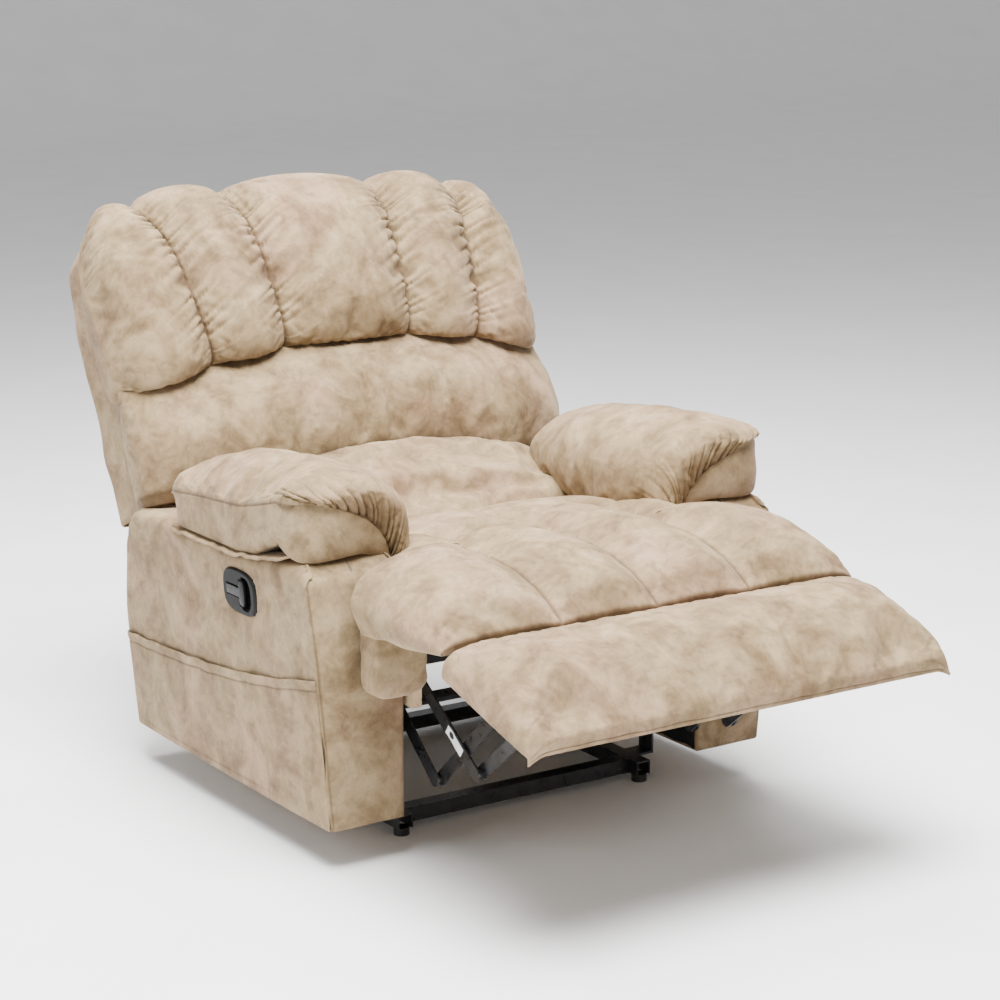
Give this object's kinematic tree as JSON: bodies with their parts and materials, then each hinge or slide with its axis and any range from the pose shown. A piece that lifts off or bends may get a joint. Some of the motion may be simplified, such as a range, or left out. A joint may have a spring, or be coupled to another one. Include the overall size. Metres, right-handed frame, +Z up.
{
  "type": "recliner armchair",
  "caption": "Overstuffed manual recliner armchair with channelled headrest, pillow arms, side pockets, a pull latch and a fold-out footrest, shown with the footrest out.",
  "frame": {"origin": "on the floor, at the bottom centre of the whole chair's bounding box as it is stored, with the footrest out", "axes": "+Z up; the chair faces -Y; +X points to the sitter's left"},
  "size_m": [0.98, 1.5594, 1.0579],
  "materials": {
    "suede": "mottled short-nap faux suede",
    "black_cloth": "matt lining cloth",
    "foot_plastic": "matt",
    "latch_plastic": "fine-grained satin",
    "lever_plastic": "fine-grained satin",
    "pine": "sawn",
    "board": "plywood",
    "spring_steel": "drawn wire",
    "zinc_steel": "zinc plated",
    "webbing": "woven elastic",
    "black_steel": "semi-gloss black paint"
  },
  "bodies": {
    "base": {"base_rail_left": "black_steel", "base_rail_right": "black_steel", "base_front_crossbar": "black_steel", "base_rear_crossbar": "black_steel", "floor_feet": "foot_plastic", "base_plates": "black_steel", "arm_brackets": "black_steel", "arm_bolts": "spring_steel", "arm_frame_left": "pine", "arm_frame_right": "pine", "arm_cover_left": "suede", "arm_cover_right": "suede", "arm_liner_left": "black_cloth", "arm_liner_right": "black_cloth", "armrest_pillow_left": "suede", "armrest_pillow_right": "suede", "side_pocket_left": "suede", "side_pocket_right": "suede", "latch_housing": "latch_plastic"},
    "seat": {"mech_plate_left": "black_steel", "mech_plate_right": "black_steel", "seat_side_rail_left": "pine", "seat_side_rail_right": "pine", "seat_front_rail": "board", "seat_rear_rail": "board", "seat_springs": "spring_steel", "seat_cushion": "suede", "seat_ear_left": "suede", "seat_ear_right": "suede"},
    "backrest": {"back_stiles": "pine", "back_rails": "pine", "back_webbing": "webbing", "back_cover": "suede", "back_bracket_left": "black_steel", "back_bracket_right": "black_steel", "back_wing_left": "pine", "back_wing_right": "pine", "lumbar_cushion": "suede", "shoulder_cushion": "suede", "headrest_cushion": "suede"},
    "footrest": {"footrest_board": "board", "footrest_cushion": "suede", "calf_pad": "suede", "footrest_bracket_left": "black_steel", "footrest_bracket_right": "black_steel"},
    "rear_swing": {"rear_swing_link_left": "black_steel", "rear_swing_link_right": "black_steel", "torque_tube": "black_steel"},
    "latch": {"latch_lever": "lever_plastic"},
    "pawl": {"lock_pawl": "zinc_steel"},
    "rear_lift_left": {"rear_lift_link_left": "black_steel"},
    "front_lift_left": {"front_lift_link_left": "black_steel"},
    "front_swing_left": {"front_swing_link_left": "black_steel"},
    "rocker_front_left": {"seat_rocker_front_left": "black_steel"},
    "rocker_rear_left": {"seat_rocker_rear_left": "black_steel"},
    "rear_lift_right": {"rear_lift_link_right": "black_steel"},
    "front_lift_right": {"front_lift_link_right": "black_steel"},
    "front_swing_right": {"front_swing_link_right": "black_steel"},
    "rocker_front_right": {"seat_rocker_front_right": "black_steel"},
    "rocker_rear_right": {"seat_rocker_rear_right": "black_steel"}
  },
  "joints": [
    {"name": "recline", "type": "hinge", "parent": "seat", "child": "backrest", "pos_m": [0, 0.35, 0.3], "axis": [-1, 0, 0], "range_deg": [-10, 36]},
    {"name": "seat_glide", "type": "slide", "parent": "base", "child": "seat", "axis": [0, -0.9917, 0.1289], "range_m": [-0.0067, 0.0237]},
    {"name": "footrest_fold", "type": "hinge", "parent": "seat", "child": "footrest", "pos_m": [0, -0.385, 0.516], "axis": [1, 0, 0], "range_deg": [0, 74]},
    {"name": "rear_swing_turn", "type": "hinge", "parent": "seat", "child": "rear_swing", "pos_m": [0, -0.13, 0.277], "axis": [1, 0, 0], "range_deg": [0, 74.6]},
    {"name": "latch_pull", "type": "hinge", "parent": "base", "child": "latch", "pos_m": [-0.4737, 0.039, 0.435], "axis": [0.2147, 0, -0.9767], "range_deg": [0, 35], "stiffness_Nm_per_rad": 0.4},
    {"name": "pawl_release", "type": "hinge", "parent": "seat", "child": "pawl", "pos_m": [-0.2745, -0.015, 0.285], "axis": [-1, 0, 0], "range_deg": [0, 14.2]},
    {"name": "rear_lift_turn_left", "type": "hinge", "parent": "rear_swing", "child": "rear_lift_left", "pos_m": [0.2615, -0.286, 0.143], "axis": [1, 0, 0], "range_deg": [-75, 0]},
    {"name": "front_swing_turn_left", "type": "hinge", "parent": "seat", "child": "front_swing_left", "pos_m": [0.268, -0.173, 0.341], "axis": [1, 0, 0], "range_deg": [0, 74.5]},
    {"name": "front_lift_turn_left", "type": "hinge", "parent": "front_swing_left", "child": "front_lift_left", "pos_m": [0.255, -0.4, 0.184], "axis": [1, 0, 0], "range_deg": [-75, 0]},
    {"name": "rocker_turn_front_left", "type": "hinge", "parent": "base", "child": "rocker_front_left", "pos_m": [0.2745, 0.02, 0.11], "axis": [1, 0, 0], "range_deg": [-3.6, 12.6]},
    {"name": "rocker_turn_rear_left", "type": "hinge", "parent": "base", "child": "rocker_rear_left", "pos_m": [0.2745, 0.26, 0.11], "axis": [1, 0, 0], "range_deg": [-3.6, 12.6]},
    {"name": "rear_lift_turn_right", "type": "hinge", "parent": "rear_swing", "child": "rear_lift_right", "pos_m": [-0.2615, -0.286, 0.143], "axis": [1, 0, 0], "range_deg": [-75, 0]},
    {"name": "front_swing_turn_right", "type": "hinge", "parent": "seat", "child": "front_swing_right", "pos_m": [-0.268, -0.173, 0.341], "axis": [1, 0, 0], "range_deg": [0, 74.5]},
    {"name": "front_lift_turn_right", "type": "hinge", "parent": "front_swing_right", "child": "front_lift_right", "pos_m": [-0.255, -0.4, 0.184], "axis": [1, 0, 0], "range_deg": [-75, 0]},
    {"name": "rocker_turn_front_right", "type": "hinge", "parent": "base", "child": "rocker_front_right", "pos_m": [-0.2745, 0.02, 0.11], "axis": [1, 0, 0], "range_deg": [-3.6, 12.6]},
    {"name": "rocker_turn_rear_right", "type": "hinge", "parent": "base", "child": "rocker_rear_right", "pos_m": [-0.2745, 0.26, 0.11], "axis": [1, 0, 0], "range_deg": [-3.6, 12.6]}
  ],
  "couplings": [
    {"joint": "seat_glide", "follows": "recline", "m_per_rad": 0.0374},
    {"joint": "rear_swing_turn", "follows": "footrest_fold", "ratio": 1.0042},
    {"joint": "pawl_release", "follows": "latch_pull", "ratio": 0.4},
    {"joint": "rear_lift_turn_left", "follows": "footrest_fold", "ratio": -1.0072},
    {"joint": "front_swing_turn_left", "follows": "footrest_fold", "ratio": 1},
    {"joint": "front_lift_turn_left", "follows": "footrest_fold", "ratio": -1},
    {"joint": "rocker_turn_front_left", "follows": "recline", "ratio": 0.341},
    {"joint": "rocker_turn_rear_left", "follows": "recline", "ratio": 0.341},
    {"joint": "rear_lift_turn_right", "follows": "footrest_fold", "ratio": -1.0072},
    {"joint": "front_swing_turn_right", "follows": "footrest_fold", "ratio": 1},
    {"joint": "front_lift_turn_right", "follows": "footrest_fold", "ratio": -1},
    {"joint": "rocker_turn_front_right", "follows": "recline", "ratio": 0.341},
    {"joint": "rocker_turn_rear_right", "follows": "recline", "ratio": 0.341}
  ]
}
